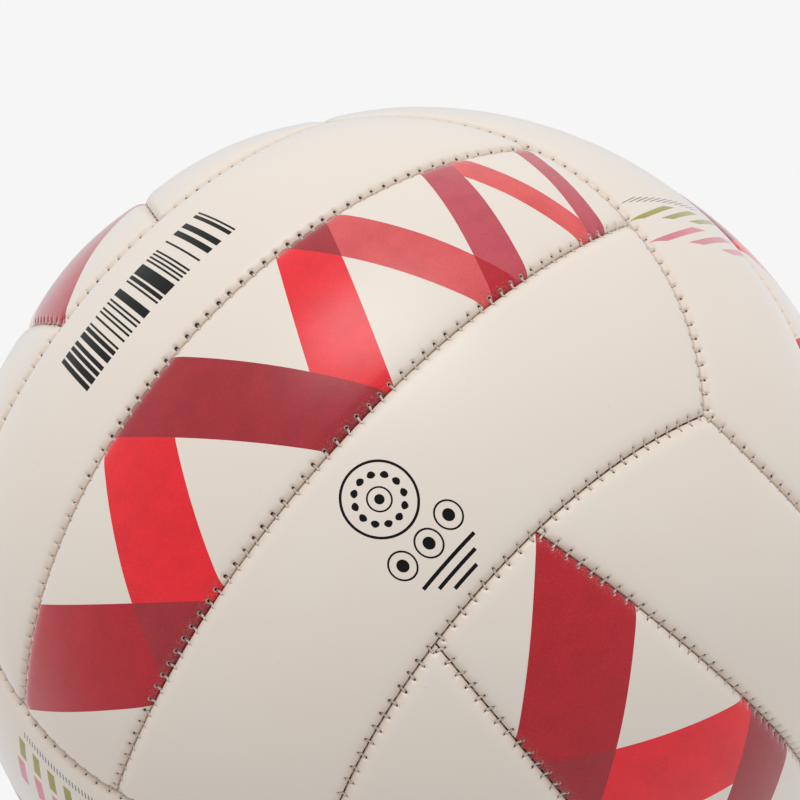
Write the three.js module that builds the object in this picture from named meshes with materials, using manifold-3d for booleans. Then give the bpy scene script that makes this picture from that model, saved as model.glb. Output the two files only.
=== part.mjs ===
// Gaelic football: a hand-stitched ball of 18 panels over an air bladder.
//
// Millimetres, +Z up, with the origin at the centre of the ball. The panels lie in six groups of
// three strips, one group facing along each axis, and the strips of neighbouring groups run
// crosswise. A long edge of one group's outer strip is therefore sewn to the three strip ends of
// the next group. The valve is in the middle strip of the group that faces +Y.
//
// Every shape is first made for the top group, whose strips run along X, and is then turned into
// its place. All the groups are alike, so the outer strips need one cut pattern and the middle
// strips another.

import * as THREE from 'three';
import { mergeVertices } from 'three/addons/utils/BufferGeometryUtils.js';
import Module from 'manifold-3d';

// Ball and panel layout
const CIRCUMFERENCE = 650; // round the crowns of the panels
const MIDDLE_STRIP_WIDTH = 44.8; // of a middle strip, half way along it
const MIDDLE_STRIP_END_WIDTH = 30.9; // of a middle strip, at its sewn ends
const SEAM_BOW = 16.7; // how far a seam between two groups bends at its middle
const SEAM_BOW_FULLNESS = 0.27; // 0 is a parabola, and more keeps the bend up towards the corners

// Cover panels, of synthetic leather
const COVER_THICKNESS = 1.6;
const PILLOW_DEPTH = 0.9; // how far the middle of a panel swells above its shoulders
const PILLOW_REACH = 22; // from the seam to where the swelling levels off
const SHOULDER_DEPTH = 1.5; // how far the edge rolls down into the seam
const SHOULDER_WIDTH = 4;
const TURN_IN_DEPTH = 3.4; // the turned-in edge, below the bottom of the seam groove
const TURN_IN_THICKNESS = 1.75;
const TURN_IN_FLARE = 0.4; // how much thicker it is at its root

// Linings, a laminate of cloth behind each cover panel
const LINING_THICKNESS = 1.2;

// Seam thread
const THREAD_DIAMETER = 0.7;

// Bladder and its valve
const BLADDER_WALL = 0.8;
const VALVE_NECK_DIAMETER = 8.4;
const VALVE_FLANGE_DIAMETER = 22;
const VALVE_FLANGE_THICKNESS = 1;
const VALVE_RECESS = 0.4; // the valve's face lies this far under the crown of its panel
const VALVE_SPIGOT_LENGTH = 3; // below the inside of the bladder
const PLUG_DIAMETER = 3;
const PLUG_BULB_DIAMETER = 4.6; // the swelling that keeps the plug in the housing
const PLUG_BULB_LENGTH = 4.4;
const PLUG_RECESS = 0.5; // the plug's end lies this far inside the housing's
const NEEDLE_HOLE_DIAMETER = 0.9;
const PATCH_DIAMETER = 36;
const PATCH_THICKNESS = 0.8;

// Clearance between pieces that touch, and how finely the round forms are divided
const CLEARANCE = 0.3;
const SHOULDER_LINES = [0.33, 0.9]; // shares of the shoulder's width
const LINES_ALONG_STRIP = 7;
const LINES_ACROSS_MIDDLE_STRIP = 3;
const LINES_ACROSS_OUTER_STRIP = 2;
const THREAD_SIDES = 4;
const THREAD_STEP = 12;
const BLADDER_SEGMENTS = 20;
const VALVE_SEGMENTS = 16;

const { PI, sin, cos, tan, atan, asin, sqrt, abs, min, round, sign, hypot } = Math;

// Radii that follow from the driving sizes
const crownRadius = CIRCUMFERENCE / (2 * PI);
const seamRadius = crownRadius - PILLOW_DEPTH - SHOULDER_DEPTH; // bottom of the seam groove
const turnInRadius = seamRadius - TURN_IN_DEPTH;
const threadRadius = THREAD_DIAMETER / 2;

const materials = {
  cover: { color: 0xe2dad0, roughness: 0.55, metalness: 0 },
  lining: { color: 0xcfc6b4, roughness: 0.9, metalness: 0 },
  thread: { color: 0xd9d0c2, roughness: 0.8, metalness: 0 },
  bladder: { color: 0x2c2a2a, roughness: 0.6, metalness: 0 },
  valve: { color: 0x1e1d1d, roughness: 0.5, metalness: 0 },
  plug: { color: 0x3a3632, roughness: 0.6, metalness: 0 },
  patch: { color: 0xb9b09c, roughness: 0.9, metalness: 0 },
};

const { lerp } = THREE.MathUtils;
const SOLVER_STEPS = 40; // the seams then meet to a millionth
const GRID_POINT_STEPS = 6; // two lines that depend on each other settle in fewer

const wasm = await Module();
wasm.setup();

// Seam layout
// Two angles place a point of the top group on the ball: along the strips, and across them.

const cornerAngle = atan(Math.SQRT1_2); // a corner where three groups meet, across the strips
const bowAngle = SEAM_BOW / crownRadius;
const stripEndAngle = PI / 4 + bowAngle;
const middleHalfAngle = MIDDLE_STRIP_WIDTH / 2 / crownRadius;
const middleEndHalfAngle = MIDDLE_STRIP_END_WIDTH / 2 / crownRadius;

function direction(along, across) {
  return new THREE.Vector3(sin(along) * cos(across), sin(across), cos(along) * cos(across));
}

// Where the strips of the group end: the seam that bows out into the next group
function endSeam(across) {
  const share = (across / cornerAngle) ** 2;
  return PI / 4 + bowAngle * (1 - share) * (1 + SEAM_BOW_FULLNESS * share);
}

// The seam between a middle and an outer strip
function innerSeam(along) {
  const share = (along / stripEndAngle) ** 2;
  return middleHalfAngle + (middleEndHalfAngle - middleHalfAngle) * share;
}

// The outer strip's long outer edge is the end seam of the group beside it, which measures its
// own angle across its strips
function outerSeam(along) {
  let beside = along;
  for (let i = 0; i < SOLVER_STEPS; i++) beside = atan(tan(along) * sin(endSeam(beside)));
  return asin(cos(endSeam(beside)) * cos(beside));
}

// How far along the group a line across its strips, such as a seam, reaches its end seam
function reachOf(line) {
  let end = PI / 4;
  for (let i = 0; i < SOLVER_STEPS; i++) end = endSeam(line(end));
  return end;
}

// A strip between two seams, as a map from u along it and v across it, both from -1 to 1
function strip(lowSeam, highSeam) {
  return (u, v) => {
    const across = (along) => lerp(lowSeam(along), highSeam(along), (v + 1) / 2);
    const along = u * reachOf(across);
    return direction(along, across(along));
  };
}

const middleStrip = strip((along) => -innerSeam(along), innerSeam);
const outerStrip = strip(innerSeam, outerSeam);

// How much of u and v one millimetre takes at a point, square to the edge there
function perMillimetre(at, u, v) {
  const step = 1e-4;
  const scale = seamRadius / (2 * step);
  const alongU = at(u + step, v).sub(at(u - step, v)).multiplyScalar(scale);
  const alongV = at(u, v + step).sub(at(u, v - step)).multiplyScalar(scale);
  const area = alongU.clone().cross(alongV).length();
  return { u: alongV.length() / area, v: alongU.length() / area };
}

// Panels

// Rise from 0 at the seam to 1: an elliptical shoulder, and a slow parabola for the pillow
const shoulder = (distance) => sqrt(1 - (1 - min(distance / SHOULDER_WIDTH, 1)) ** 2);
const pillow = (distance) => 1 - (1 - min(distance / PILLOW_REACH, 1)) ** 2;

// Radius of the cover's outer face, by its distance from the strip's end and from its side
function coverFace(fromEnd, fromSide) {
  const rolled = SHOULDER_DEPTH * shoulder(fromEnd) * shoulder(fromSide);
  return seamRadius + rolled + PILLOW_DEPTH * pillow(fromEnd) * pillow(fromSide);
}

// Distances from the seam of the grid lines nearest to it, outside and inside a cover
const edgeLine = CLEARANCE / 2;
const shoulderLines = [edgeLine, ...SHOULDER_LINES.map((share) => share * SHOULDER_WIDTH)];
const turnInTip = edgeLine + TURN_IN_THICKNESS;
const turnInRoot = turnInTip + TURN_IN_FLARE;
const turnInLines = [edgeLine, turnInTip, turnInRoot];
const liningLines = [turnInRoot + CLEARANCE];

// Grid lines from one edge of a strip, at -1, to the other, at 1. Those near an edge keep their
// distance from it, and the others share what is left alike, so that layers under each other have
// them in common. A line's place depends on how much of the range one millimetre takes there.
function gridLines(edgeLines, innerCount) {
  const low = edgeLines.map((line) => ({ edge: -1, place: (unit) => line * unit - 1 }));
  const high = edgeLines.map((line) => ({ edge: 1, place: (unit) => 1 - line * unit })).reverse();
  const inner = [];
  for (let k = 1; k <= innerCount; k++) {
    const share = (2 * k) / (innerCount + 1) - 1;
    const reach = shoulderLines.at(-1);
    inner.push({ edge: sign(share), place: (unit) => share * (1 - reach * unit) });
  }
  return [...low, ...inner, ...high];
}

// The point where two grid lines cross, at the radius that its distances from the edges give
function gridPoint(at, lineU, lineV, radius) {
  let u = lineU.edge;
  let v = lineV.edge;
  let unitU;
  let unitV;
  for (let i = 0; i < GRID_POINT_STEPS; i++) {
    unitU = perMillimetre(at, lineU.edge, v).u;
    unitV = perMillimetre(at, u, lineV.edge).v;
    u = lineU.place(unitU);
    v = lineV.place(unitV);
  }
  return at(u, v).multiplyScalar(radius((1 - abs(u)) / unitU, (1 - abs(v)) / unitV));
}

// One face of a panel, as rows of points
function panelFace(at, edgeLines, acrossCount, radius) {
  return gridLines(edgeLines, LINES_ALONG_STRIP).map((lineU) =>
    gridLines(edgeLines, acrossCount).map((lineV) => gridPoint(at, lineU, lineV, radius)),
  );
}

// A closed solid between two grids with as many rows and columns
function slab(upper, lower) {
  const rows = upper.length;
  const columns = upper[0].length;
  const points = [...upper.flat(), ...lower.flat()];
  const top = (i, j) => i * columns + j;
  const bottom = (i, j) => rows * columns + i * columns + j;
  const index = [];
  const quad = (a, b, c, d) => index.push(a, b, c, a, c, d);
  for (let i = 0; i < rows - 1; i++) {
    for (let j = 0; j < columns - 1; j++) {
      quad(top(i, j), top(i + 1, j), top(i + 1, j + 1), top(i, j + 1));
      quad(bottom(i, j), bottom(i, j + 1), bottom(i + 1, j + 1), bottom(i + 1, j));
    }
  }
  for (let i = 0; i < rows - 1; i++) {
    quad(bottom(i, 0), bottom(i + 1, 0), top(i + 1, 0), top(i, 0));
    quad(top(i, columns - 1), top(i + 1, columns - 1), bottom(i + 1, columns - 1), bottom(i, columns - 1));
  }
  for (let j = 0; j < columns - 1; j++) {
    quad(top(0, j), top(0, j + 1), bottom(0, j + 1), bottom(0, j));
    quad(bottom(rows - 1, j), bottom(rows - 1, j + 1), top(rows - 1, j + 1), top(rows - 1, j));
  }
  return new THREE.BufferGeometry().setFromPoints(points).setIndex(index);
}

// A cover panel: crowned outside, hollow behind, with its edges turned in along the seams
function coverPanel(at, acrossCount) {
  const inside = (fromEnd, fromSide) =>
    min(fromEnd, fromSide) < (turnInTip + turnInRoot) / 2
      ? turnInRadius
      : coverFace(fromEnd, fromSide) - COVER_THICKNESS;
  return slab(
    panelFace(at, shoulderLines, acrossCount, coverFace),
    panelFace(at, turnInLines, acrossCount, inside),
  );
}

// A lining, glued behind its cover and cut to end at the turned-in edges
function liningPanel(at, acrossCount) {
  const depth = COVER_THICKNESS + CLEARANCE;
  const outside = (fromEnd, fromSide) => coverFace(fromEnd, fromSide) - depth;
  const inside = (fromEnd, fromSide) => coverFace(fromEnd, fromSide) - depth - LINING_THICKNESS;
  return slab(
    panelFace(at, liningLines, acrossCount, outside),
    panelFace(at, liningLines, acrossCount, inside),
  );
}

// Solids

function solid(geometry) {
  const bare = geometry.clone();
  bare.deleteAttribute('normal');
  bare.deleteAttribute('uv');
  const merged = mergeVertices(bare, 1e-4);
  return new wasm.Manifold(
    new wasm.Mesh({
      numProp: 3,
      vertProperties: new Float32Array(merged.attributes.position.array),
      triVerts: new Uint32Array(merged.index.array),
    }),
  );
}

function fromSolid(manifold) {
  const mesh = manifold.getMesh();
  const geometry = new THREE.BufferGeometry();
  geometry.setAttribute('position', new THREE.BufferAttribute(mesh.vertProperties, 3));
  geometry.setIndex(new THREE.BufferAttribute(mesh.triVerts, 1));
  return geometry;
}

// The hole through the top group's middle strip for the neck of the valve
const neckRadius = VALVE_NECK_DIAMETER / 2;

function withValveHole(panel) {
  const radius = neckRadius + CLEARANCE;
  const drill = new THREE.CylinderGeometry(radius, radius, crownRadius, VALVE_SEGMENTS);
  drill.rotateX(PI / 2);
  drill.translate(0, 0, crownRadius);
  return fromSolid(solid(panel).subtract(solid(drill)));
}

// Seam thread

// The thread lies in the groove, where it is one clearance away from both shoulders
const [groovePoint, shoulderPoint] = shoulderLines;
const grooveRadius = coverFace(groovePoint, PILLOW_REACH);
const grooveSlope =
  (coverFace(shoulderPoint, PILLOW_REACH) - grooveRadius) / (shoulderPoint - groovePoint);
const threadCentreRadius =
  grooveRadius - grooveSlope * groovePoint + (threadRadius + CLEARANCE) * hypot(1, grooveSlope);

class SeamCurve extends THREE.Curve {
  constructor(pointAt, from, to) {
    super();
    this.pointAt = pointAt;
    this.from = from;
    this.to = to;
  }

  getPoint(t, target = new THREE.Vector3()) {
    return target.copy(this.pointAt(lerp(this.from, this.to, t))).setLength(threadCentreRadius);
  }
}

function threadAlong(curve) {
  const outline = [];
  for (let k = 0; k < THREAD_SIDES; k++) {
    const angle = (2 * PI * k) / THREAD_SIDES;
    outline.push(new THREE.Vector2(threadRadius * cos(angle), threadRadius * sin(angle)));
  }
  const steps = round(curve.getLength() / THREAD_STEP);
  return new THREE.ExtrudeGeometry(new THREE.Shape(outline), { steps, extrudePath: curve });
}

// A thread stops short of the thread that crosses its end
const threadEndAngle = (THREAD_DIAMETER + CLEARANCE) / seamRadius;

// Along the seam between a middle and an outer strip
function innerSeamThread() {
  const end = reachOf(innerSeam) - threadEndAngle;
  return threadAlong(new SeamCurve((along) => direction(along, innerSeam(along)), -end, end));
}

// Out from a corner where three groups meet, along the three seams between them
function cornerThread() {
  const onEndSeam = (across) => direction(endSeam(across), across);
  const branch = threadAlong(new SeamCurve(onEndSeam, cornerAngle, threadEndAngle - cornerAngle));
  const knot = new THREE.OctahedronGeometry(threadRadius);
  knot.translate(...direction(PI / 4, cornerAngle).setLength(threadCentreRadius));
  let joined = solid(knot);
  for (let k = 0; k < 3; k++) {
    joined = joined.add(solid(branch.clone().applyQuaternion(cornerTurn(k))));
  }
  return fromSolid(joined);
}

// Bladder and valve, turned about the valve's axis, which is +Y

// The covers' turned-in edges are straight between grid lines, so they reach in a little
const turnInSag = turnInRadius * (1 - cos(stripEndAngle / (LINES_ALONG_STRIP + 1)));
const bladderRadius = turnInRadius - turnInSag - CLEARANCE;
const bladderInnerRadius = bladderRadius - BLADDER_WALL;
const flangeRadius = VALVE_FLANGE_DIAMETER / 2;
const openingRadius = neckRadius + CLEARANCE;

function turned(profile, segments) {
  const points = profile.map(([radius, height]) => new THREE.Vector2(radius, height));
  return new THREE.LatheGeometry(points, segments);
}

// Height of a sphere round the origin, over a point at some distance from the axis
const sphereHeight = (radius, fromAxis) => sqrt(radius ** 2 - fromAxis ** 2);

// Profile of a sphere from the axis, on the far side, up to the valve's opening
function sphereProfile(radius) {
  const steps = BLADDER_SEGMENTS / 2;
  const opening = PI - asin(openingRadius / radius);
  const points = [];
  for (let k = 0; k <= steps; k++) {
    const angle = (opening * k) / steps;
    points.push([radius * sin(angle), -radius * cos(angle)]);
  }
  return points;
}

function bladder() {
  const inside = sphereProfile(bladderInnerRadius).reverse();
  return turned([...sphereProfile(bladderRadius), ...inside], BLADDER_SEGMENTS);
}

const valveFaceHeight = crownRadius - VALVE_RECESS;
const spigotHeight = bladderInnerRadius - VALVE_SPIGOT_LENGTH;
const plugTop = valveFaceHeight - PLUG_RECESS;
const plugBottom = spigotHeight + PLUG_RECESS;
const bulbHeight = (plugTop + plugBottom) / 2;
const flangeUnderside = (fromAxis) => sphereHeight(bladderRadius + CLEARANCE, fromAxis);
const flangeTop = (fromAxis) => flangeUnderside(fromAxis) + VALVE_FLANGE_THICKNESS;

function valveHousing() {
  const bore = PLUG_DIAMETER / 2 + CLEARANCE;
  const boreBulb = PLUG_BULB_DIAMETER / 2 + CLEARANCE;
  const bulbReach = PLUG_BULB_LENGTH / 2 + CLEARANCE;
  return turned(
    [
      [neckRadius, spigotHeight],
      [neckRadius, flangeUnderside(neckRadius)],
      [flangeRadius, flangeUnderside(flangeRadius)],
      [flangeRadius, flangeTop(flangeRadius)],
      [neckRadius, flangeTop(neckRadius)],
      [neckRadius, valveFaceHeight],
      [bore, valveFaceHeight],
      [bore, bulbHeight + bulbReach],
      [boreBulb, bulbHeight],
      [bore, bulbHeight - bulbReach],
      [bore, spigotHeight],
      [neckRadius, spigotHeight],
    ],
    VALVE_SEGMENTS,
  );
}

function valvePlug() {
  const body = PLUG_DIAMETER / 2;
  const bulb = PLUG_BULB_DIAMETER / 2;
  const hole = NEEDLE_HOLE_DIAMETER / 2;
  const bulbReach = PLUG_BULB_LENGTH / 2;
  return turned(
    [
      [hole, plugBottom],
      [body, plugBottom],
      [body, bulbHeight - bulbReach],
      [bulb, bulbHeight],
      [body, bulbHeight + bulbReach],
      [body, plugTop],
      [hole, plugTop],
      [hole, plugBottom],
    ],
    VALVE_SEGMENTS,
  );
}

// A cloth washer that steps down over the rim of the valve's flange onto the bladder
function valvePatch() {
  const step = flangeRadius + CLEARANCE;
  const stepOutside = step + PATCH_THICKNESS;
  const rim = PATCH_DIAMETER / 2;
  const onFlange = (fromAxis) => flangeTop(fromAxis) + CLEARANCE;
  return turned(
    [
      [openingRadius, onFlange(openingRadius)],
      [step, onFlange(step)],
      [step, flangeUnderside(step)],
      [rim, flangeUnderside(rim)],
      [rim, flangeUnderside(rim) + PATCH_THICKNESS],
      [stepOutside, flangeUnderside(stepOutside) + PATCH_THICKNESS],
      [stepOutside, onFlange(stepOutside) + PATCH_THICKNESS],
      [openingRadius, onFlange(openingRadius) + PATCH_THICKNESS],
      [openingRadius, onFlange(openingRadius)],
    ],
    VALVE_SEGMENTS,
  );
}

// Assembly

// Turns about the diagonal of +X, +Y and +Z take the top group to the right and to the back
function cornerTurn(count) {
  const diagonal = new THREE.Vector3(1, 1, 1).normalize();
  return new THREE.Quaternion().setFromAxisAngle(diagonal, (count * 2 * PI) / 3);
}

function halfTurn(x, y, z) {
  return new THREE.Quaternion().setFromAxisAngle(new THREE.Vector3(x, y, z), PI);
}

function addPiece(parent, name, geometry, finish) {
  const mesh = new THREE.Mesh(geometry, new THREE.MeshStandardMaterial(materials[finish]));
  mesh.name = name;
  parent.add(mesh);
  return mesh;
}

const middleCover = coverPanel(middleStrip, LINES_ACROSS_MIDDLE_STRIP);
const outerCover = coverPanel(outerStrip, LINES_ACROSS_OUTER_STRIP);
const middleLining = liningPanel(middleStrip, LINES_ACROSS_MIDDLE_STRIP);
const outerLining = liningPanel(outerStrip, LINES_ACROSS_OUTER_STRIP);
const seamThread = innerSeamThread();

// One group of three strips, with the two seams between them
function stripGroup(name, hasValve) {
  const group = new THREE.Group();
  const cut = hasValve ? withValveHole : (panel) => panel;
  addPiece(group, `cover_${name}_middle`, cut(middleCover), 'cover');
  addPiece(group, `lining_${name}_middle`, cut(middleLining), 'lining');
  for (const side of ['a', 'b']) {
    const half = new THREE.Group();
    if (side === 'b') half.quaternion.copy(halfTurn(0, 0, 1));
    addPiece(half, `cover_${name}_${side}`, outerCover, 'cover');
    addPiece(half, `lining_${name}_${side}`, outerLining, 'lining');
    addPiece(half, `thread_${name}_${side}`, seamThread, 'thread');
    group.add(half);
  }
  return group;
}

const ball = new THREE.Group();

const facingPairs = [
  ['top', 'bottom'],
  ['right', 'left'],
  ['back', 'front'],
];
facingPairs.forEach(([name, opposite], turns) => {
  const near = stripGroup(name, name === 'back');
  near.quaternion.copy(cornerTurn(turns));
  const far = stripGroup(opposite, false);
  far.quaternion.copy(cornerTurn(turns)).multiply(halfTurn(1, 0, 0));
  ball.add(near, far);
});

const cornerGeometry = cornerThread();
const cornerPlaces = {
  thread_corner_back_right: new THREE.Quaternion(),
  thread_corner_front_right: halfTurn(1, 0, 0),
  thread_corner_back_left: halfTurn(0, 1, 0),
  thread_corner_front_left: halfTurn(0, 0, 1),
};
for (const [name, turn] of Object.entries(cornerPlaces)) {
  addPiece(ball, name, cornerGeometry, 'thread').quaternion.copy(turn);
}

addPiece(ball, 'bladder', bladder(), 'bladder');
addPiece(ball, 'valve_housing', valveHousing(), 'valve');
addPiece(ball, 'valve_plug', valvePlug(), 'plug');
addPiece(ball, 'valve_patch', valvePatch(), 'patch');

export default ball;
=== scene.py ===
"""Gaelic football: how a hand-stitched ball of 18 panels looks.

The layout is the one in the part's source. It is worked out in millimetres round the centre of the
ball, and written to Blender in metres. Every panel is one of two patterns, a middle strip or an
outer strip, made for the group of strips that faces up and then turned into its place.
"""

import bpy
import numpy as np
from mathutils import Matrix, Vector
from mathutils.geometry import delaunay_2d_cdt


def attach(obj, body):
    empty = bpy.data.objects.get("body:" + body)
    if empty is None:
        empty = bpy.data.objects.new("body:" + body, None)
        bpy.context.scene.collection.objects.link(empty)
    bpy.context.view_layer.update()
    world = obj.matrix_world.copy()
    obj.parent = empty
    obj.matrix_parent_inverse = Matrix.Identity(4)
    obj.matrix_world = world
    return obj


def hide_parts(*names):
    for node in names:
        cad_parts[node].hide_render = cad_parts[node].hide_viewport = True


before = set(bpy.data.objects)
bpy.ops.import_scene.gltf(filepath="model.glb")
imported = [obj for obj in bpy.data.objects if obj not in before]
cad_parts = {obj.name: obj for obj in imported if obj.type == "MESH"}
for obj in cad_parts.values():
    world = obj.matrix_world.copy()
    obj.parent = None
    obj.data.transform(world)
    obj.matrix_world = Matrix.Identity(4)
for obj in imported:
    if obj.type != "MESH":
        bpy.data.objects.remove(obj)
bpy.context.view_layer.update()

rng = np.random.default_rng(18)
METRES = 0.001

# Ball and panel layout, as in the part's source
CIRCUMFERENCE = 650
MIDDLE_STRIP_WIDTH = 44.8
MIDDLE_STRIP_END_WIDTH = 30.9
SEAM_BOW = 16.7
SEAM_BOW_FULLNESS = 0.27
COVER_THICKNESS = 1.6
PILLOW_DEPTH = 0.9
PILLOW_REACH = 22
SHOULDER_DEPTH = 1.5
SHOULDER_WIDTH = 4
EDGE_ROLL = 1.8
BROAD_SHARE = 0.4  # of the shoulder's depth, the rest is in the tight roll
TURN_IN_DEPTH = 3.4
TURN_IN_THICKNESS = 1.75
TURN_IN_FLARE = 0.4
LINING_THICKNESS = 1.2
BLADDER_WALL = 0.8
VALVE_NECK_DIAMETER = 8.4
VALVE_FLANGE_DIAMETER = 22
VALVE_FLANGE_THICKNESS = 1
VALVE_RECESS = 0.4
VALVE_SPIGOT_LENGTH = 3
PLUG_DIAMETER = 3
PLUG_BULB_DIAMETER = 4.6
PLUG_BULB_LENGTH = 4.4
PLUG_RECESS = 0.5
NEEDLE_HOLE_DIAMETER = 0.9
PATCH_DIAMETER = 36
PATCH_THICKNESS = 0.8
CLEARANCE = 0.3
END_SEAM_BEND = 1.02  # the length of an outer strip's bent end, of a straight one
OUTER_MIDDLE_ANGLE = 0.41

CROWN_RADIUS = CIRCUMFERENCE / (2 * np.pi)
SEAM_RADIUS = CROWN_RADIUS - PILLOW_DEPTH - SHOULDER_DEPTH
TURN_IN_RADIUS = SEAM_RADIUS - TURN_IN_DEPTH
CORNER_ANGLE = np.arctan(np.sqrt(0.5))
BOW_ANGLE = SEAM_BOW / CROWN_RADIUS
STRIP_END_ANGLE = np.pi / 4 + BOW_ANGLE
MIDDLE_HALF_ANGLE = MIDDLE_STRIP_WIDTH / 2 / CROWN_RADIUS
MIDDLE_END_HALF_ANGLE = MIDDLE_STRIP_END_WIDTH / 2 / CROWN_RADIUS

# Stitches
STITCH_PITCH = 3.28
THREAD_RADIUS = 0.28
HOLE_INSET = 0.76  # from the seam to where the thread goes down, on each side of it
HOLE_LEAD = 0.18  # of the middle of the needle hole beyond the thread
HOLE_LENGTH = 0.36  # half of it, the way the thread runs
HOLE_WIDTH = 0.26
HOLE_DEPTH = 0.8
STITCH_SLANT = 0.14  # how far a hole lies along the seam from the middle of its stitch
NOTCH_DEPTH = 0.38  # how far a stitch pulls the edge of the cover down
NOTCH_WIDTH = 0.36
NOTCH_FADE = 0.2  # half the length over which a notch ends
PUCKER_DEPTH = 0.06
PUCKER_REACH = 2.2
THREAD_LIFT = 0.28  # of the thread's middle above the bottom of its notch
THREAD_DROP = 0.1  # below the notch, where the thread enters its hole
THREAD_DIP = 0.12  # of the thread's middle between the two covers
THREAD_SIDES = 6
# How much the stitches differ from each other
INSET_SPREAD = 0.08
SLANT_SPREAD = 0.22
PULL_SPREAD = 0.2
OPENING_SPREAD = 0.18
# How open the needle holes are, at even places along a seam
USUAL_HOLES = (1.0, 1.25, 0.95, 1.15)
PULLED_HOLES_A = (0.7, 0.8, 2.2, 1.6, 1.2)
PULLED_HOLES_MIDDLE = (1.2, 1.6, 1.5, 1.4, 1.0)
TIGHT_HOLES = (0.6, 0.6)
PULLED_INSET = 0.62

# Mesh
EDGE_STRIDE = 8
EDGE_SAMPLES = 1 + 200 * EDGE_STRIDE
EDGE_LINE = CLEARANCE * 0.6  # from the seam to the edge of the cover
FINE_PHASES = (-0.5, -0.36, -0.24, -0.14, -0.07, 0, 0.07, 0.14, 0.24, 0.36)
HALF_PHASES = (-0.5, 0)
LEANING_PHASES = 0.26  # within this of a stitch's bounds the columns lean less and less
COLUMNS_PER_LOOP_POINT = len(FINE_PHASES) // len(HALF_PHASES)
RINGS = (
    *((inset, FINE_PHASES) for inset in (EDGE_LINE, 0.35, 0.6, 0.85, 1.05, 1.25, 1.5, 1.85)),
    (2.3, (-0.5, -0.24, 0, 0.24)),
    (3.0, HALF_PHASES),
    (4.0, (-0.5,)),
)
RING_GAP = 0.1
LOOP_GAP = 0.4
GRID_REACH = 1.1  # the angle from the top
GRID_ROWS = 0.87  # of the spacing along a row
FACE_GRID = 3
INNER_GRID = 6
GRID_MARGIN = 5.4


def unit(vectors):
    return vectors / np.linalg.norm(vectors, axis=-1, keepdims=True)


# Seam layout

def direction(along, across):
    """The point of the top group at two angles: along the strips, and across them."""
    along, across = np.broadcast_arrays(along, across)
    to_side = np.sin(along) * np.cos(across)
    up = np.cos(along) * np.cos(across)
    return np.stack([to_side, np.sin(across), up], -1)


def end_seam(across):
    """Where the strips of the group end: the seam that bows out into the next group."""
    share = (across / CORNER_ANGLE) ** 2
    return np.pi / 4 + BOW_ANGLE * (1 - share) * (1 + SEAM_BOW_FULLNESS * share)


def inner_seam(along):
    """The seam between a middle and an outer strip."""
    share = (along / STRIP_END_ANGLE) ** 2
    return MIDDLE_HALF_ANGLE + (MIDDLE_END_HALF_ANGLE - MIDDLE_HALF_ANGLE) * share


def inner_seam_reach():
    """How far along the strips the inner seam meets the end seam."""
    along = np.pi / 4
    for _ in range(40):
        along = end_seam(inner_seam(along))
    return along


SEAM_REACH = inner_seam_reach()
TEE_ANGLE = inner_seam(SEAM_REACH)


def on_end_seam(across):
    return direction(end_seam(across), across)


def on_far_end_seam(across):
    return direction(-end_seam(across), across)


def on_long_seam(beside):
    """The outer strip's long outer edge, which is the end seam of the group beside it."""
    return on_end_seam(beside)[..., [1, 2, 0]]


# Panels

def shoulder(distance):
    """A tight roll at the very edge on top of a broad one."""
    broad = 1 - (1 - np.minimum(distance / SHOULDER_WIDTH, 1)) ** 2
    tight = np.sqrt(1 - (1 - np.minimum(distance / EDGE_ROLL, 1)) ** 2)
    return BROAD_SHARE * broad + (1 - BROAD_SHARE) * tight


def pillow(distance):
    return 1 - (1 - np.minimum(distance / PILLOW_REACH, 1)) ** 2


def cover_face(from_end, from_side):
    rolled = SHOULDER_DEPTH * shoulder(from_end) * shoulder(from_side)
    return SEAM_RADIUS + rolled + PILLOW_DEPTH * pillow(from_end) * pillow(from_side)


def spread(count, middle, amount):
    return middle + rng.uniform(-amount, amount, count)


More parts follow.
